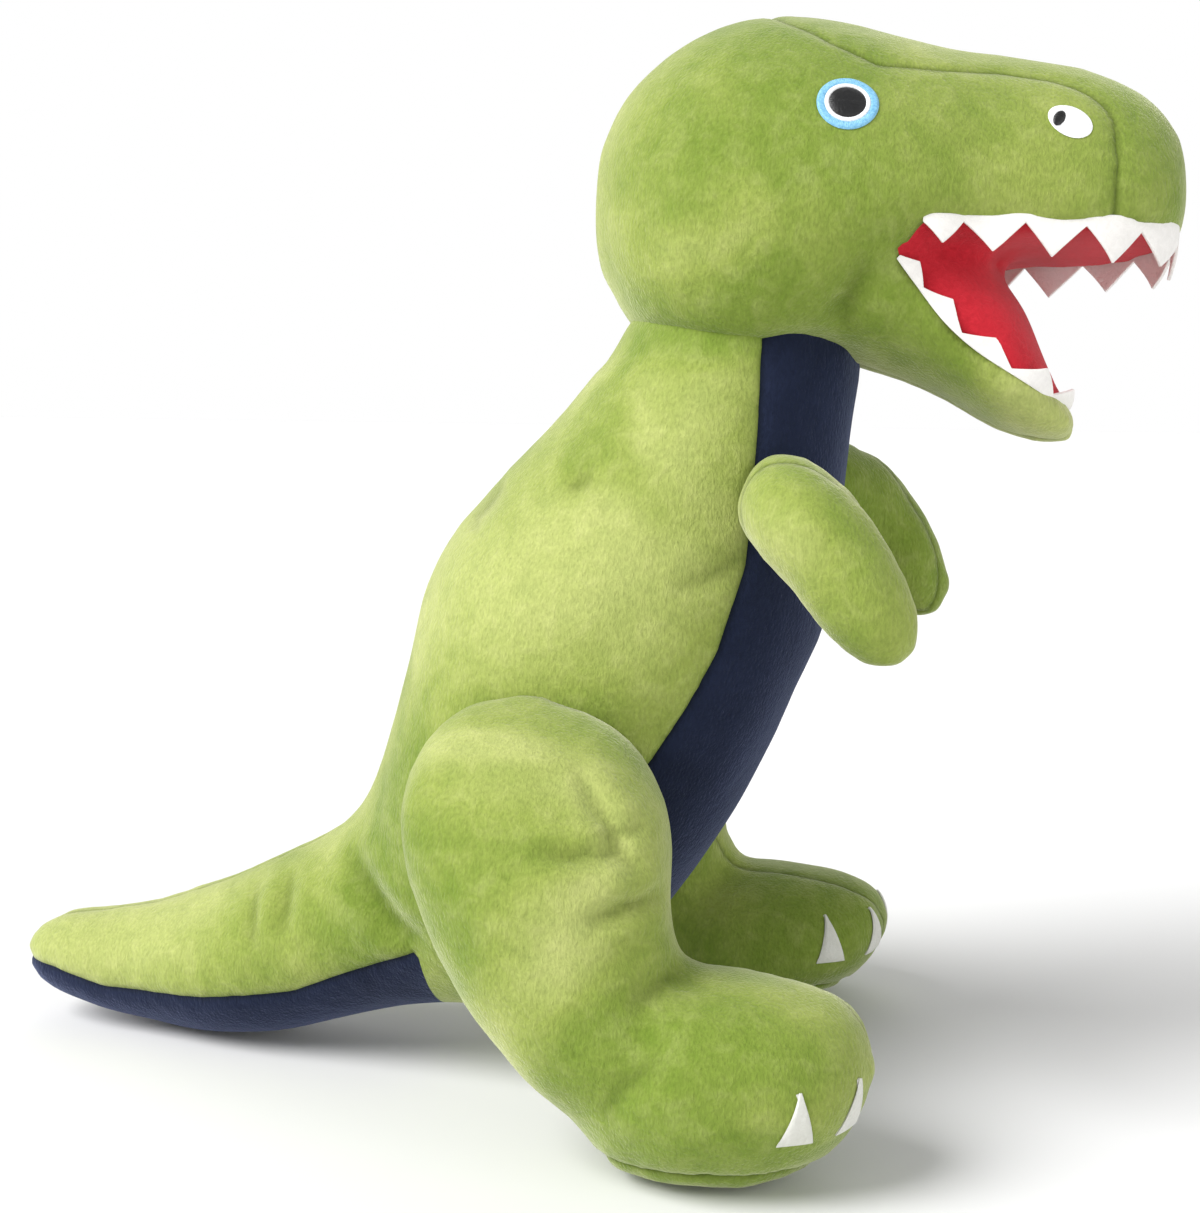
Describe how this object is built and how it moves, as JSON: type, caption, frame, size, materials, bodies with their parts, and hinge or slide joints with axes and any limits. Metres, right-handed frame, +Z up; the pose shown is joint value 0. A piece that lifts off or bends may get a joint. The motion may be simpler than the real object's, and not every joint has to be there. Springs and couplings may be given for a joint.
{
  "type": "stuffed dinosaur",
  "caption": "Stuffed standing two-legged dinosaur toy in short-pile plush, with an open felt-toothed mouth, short arms, a long tail and jointed soft limbs.",
  "frame": {"origin": "on the ground, under the centre of the toy's bounding box", "axes": "+X forward, the way the snout points; +Y to the toy's left; +Z up"},
  "size_m": [0.3839, 0.239, 0.3357],
  "materials": {
    "green_plush": "short-pile plush, matt with a soft sheen",
    "navy_plush": "short-pile plush, matt with a soft sheen",
    "red_felt": "pressed felt",
    "white_felt": "pressed felt",
    "claw_felt": "pressed felt",
    "blue_thread": "satin-stitch embroidery",
    "white_thread": "satin-stitch embroidery",
    "black_thread": "satin-stitch embroidery",
    "stuffing": "loose polyester fibre"
  },
  "bodies": {
    "torso": {"belly_panel": "navy_plush", "body_filling": "stuffing", "body_side_panel_right": "green_plush", "body_side_panel_left": "green_plush"},
    "tail": {"tail_under_panel": "navy_plush", "tail_filling": "stuffing", "tail_side_panel_right": "green_plush", "tail_side_panel_left": "green_plush"},
    "head": {"head_side_panel_right": "green_plush", "eye_ring_right": "blue_thread", "eye_white_right": "white_thread", "eye_pupil_right": "black_thread", "nostril_patch_right": "white_thread", "nostril_slit_right": "black_thread", "head_side_panel_left": "green_plush", "eye_ring_left": "blue_thread", "eye_white_left": "white_thread", "eye_pupil_left": "black_thread", "nostril_patch_left": "white_thread", "nostril_slit_left": "black_thread", "head_top_gusset": "green_plush", "head_filling": "stuffing", "mouth_lining_upper": "red_felt", "upper_teeth_strip": "white_felt"},
    "jaw": {"chin_panel": "green_plush", "jaw_filling": "stuffing", "mouth_lining_lower": "red_felt", "lower_teeth_strip": "white_felt"},
    "arm_right": {"arm_outer_panel_right": "green_plush", "arm_inner_panel_right": "green_plush", "arm_filling_right": "stuffing"},
    "leg_right": {"leg_outer_panel_right": "green_plush", "leg_inner_panel_right": "green_plush", "leg_filling_right": "stuffing", "foot_sole_right": "green_plush", "toe_claws_right": "claw_felt"},
    "arm_left": {"arm_outer_panel_left": "green_plush", "arm_inner_panel_left": "green_plush", "arm_filling_left": "stuffing"},
    "leg_left": {"leg_outer_panel_left": "green_plush", "leg_inner_panel_left": "green_plush", "leg_filling_left": "stuffing", "foot_sole_left": "green_plush", "toe_claws_left": "claw_felt"}
  },
  "joints": [
    {"name": "tail_wag", "type": "hinge", "parent": "torso", "child": "tail", "pos_m": [-0.013, 0, 0.05], "axis": [0, 0, 1], "range_deg": [-12, 12], "stiffness_Nm_per_rad": 0.4},
    {"name": "head_turn", "type": "hinge", "parent": "torso", "child": "head", "pos_m": [0.061, 0, 0.232], "axis": [0.1564, 0.1885, 0.9695], "range_deg": [-20, 20], "stiffness_Nm_per_rad": 1.2},
    {"name": "jaw_open", "type": "hinge", "parent": "head", "child": "jaw", "pos_m": [0.11, 0.00592, 0.26243], "axis": [0, 0.9816, -0.1908], "range_deg": [-5, 5], "stiffness_Nm_per_rad": 0.25},
    {"name": "arm_right_swing", "type": "hinge", "parent": "torso", "child": "arm_right", "pos_m": [0.074, -0.06, 0.193], "axis": [0, 1, 0], "range_deg": [-35, 20], "stiffness_Nm_per_rad": 0.25},
    {"name": "leg_right_swing", "type": "hinge", "parent": "torso", "child": "leg_right", "pos_m": [0.009, -0.085, 0.095], "axis": [0, 1, 0], "range_deg": [-10, 10], "stiffness_Nm_per_rad": 4},
    {"name": "arm_left_swing", "type": "hinge", "parent": "torso", "child": "arm_left", "pos_m": [0.077, 0.06, 0.19], "axis": [0, 1, 0], "range_deg": [-35, 20], "stiffness_Nm_per_rad": 0.25},
    {"name": "leg_left_swing", "type": "hinge", "parent": "torso", "child": "leg_left", "pos_m": [0.002, 0.085, 0.095], "axis": [0, 1, 0], "range_deg": [-10, 10], "stiffness_Nm_per_rad": 4}
  ]
}
